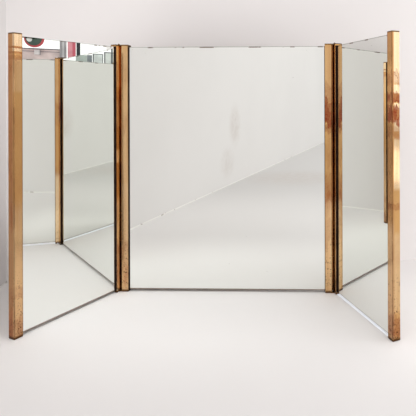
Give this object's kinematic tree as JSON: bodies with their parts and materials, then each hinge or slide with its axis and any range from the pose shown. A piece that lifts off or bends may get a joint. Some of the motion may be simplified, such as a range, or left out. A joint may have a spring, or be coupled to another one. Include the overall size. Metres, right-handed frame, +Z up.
{
  "type": "trifold vanity mirror",
  "caption": "Free-standing trifold mirror: a rectangular centre mirror and narrower side wings, in slim brass channels, on pins that let the wings fold forward.",
  "frame": {"origin": "middle of the footprint of the stored pose, on the surface that the posts stand on", "axes": "+Z up, the mirrors face -Y, +X to the right as seen by someone using the mirror"},
  "size_m": [0.639, 0.2124, 0.5022],
  "materials": {
    "mirror": "silvered glass, aged, with faint specks",
    "board": "stained plywood backing board",
    "brass": "folded brass with an uneven brown patina",
    "strip": "tarnished brass strip",
    "screws": "slotted countersunk brass screws",
    "pins": "turned brass pins"
  },
  "bodies": {
    "center_mirror": {"center_backing_board": "board", "center_left_bottom_hinge_cap": "brass", "center_left_channel": "brass", "center_left_stop_strip": "strip", "center_left_top_hinge_cap": "brass", "center_mirror_glass": "mirror", "center_right_bottom_hinge_cap": "brass", "center_right_channel": "brass", "center_right_stop_strip": "strip", "center_right_top_hinge_cap": "brass", "center_stop_strip_screws": "screws"},
    "left_wing": {"left_wing_backing_board": "board", "left_wing_backing_screws": "screws", "left_wing_bottom_pivot_block": "brass", "left_wing_bottom_pivot_pin": "pins", "left_wing_inner_channel": "brass", "left_wing_mirror_glass": "mirror", "left_wing_outer_bottom_cap": "brass", "left_wing_outer_channel": "brass", "left_wing_outer_top_cap": "brass", "left_wing_top_pivot_block": "brass", "left_wing_top_pivot_pin": "pins"},
    "right_wing": {"right_wing_backing_board": "board", "right_wing_backing_screws": "screws", "right_wing_bottom_pivot_block": "brass", "right_wing_bottom_pivot_pin": "pins", "right_wing_inner_channel": "brass", "right_wing_mirror_glass": "mirror", "right_wing_outer_bottom_cap": "brass", "right_wing_outer_channel": "brass", "right_wing_outer_top_cap": "brass", "right_wing_top_pivot_block": "brass", "right_wing_top_pivot_pin": "pins"}
  },
  "joints": [
    {"name": "left_wing_hinge", "type": "hinge", "parent": "center_mirror", "child": "left_wing", "pos_m": [-0.22603, 0.09246, 0.25], "axis": [0, 0, 1], "range_deg": [-67.3, 59.7]},
    {"name": "right_wing_hinge", "type": "hinge", "parent": "center_mirror", "child": "right_wing", "pos_m": [0.21217, 0.09246, 0.25], "axis": [0, 0, -1], "range_deg": [-63.1, 63.9]}
  ]
}
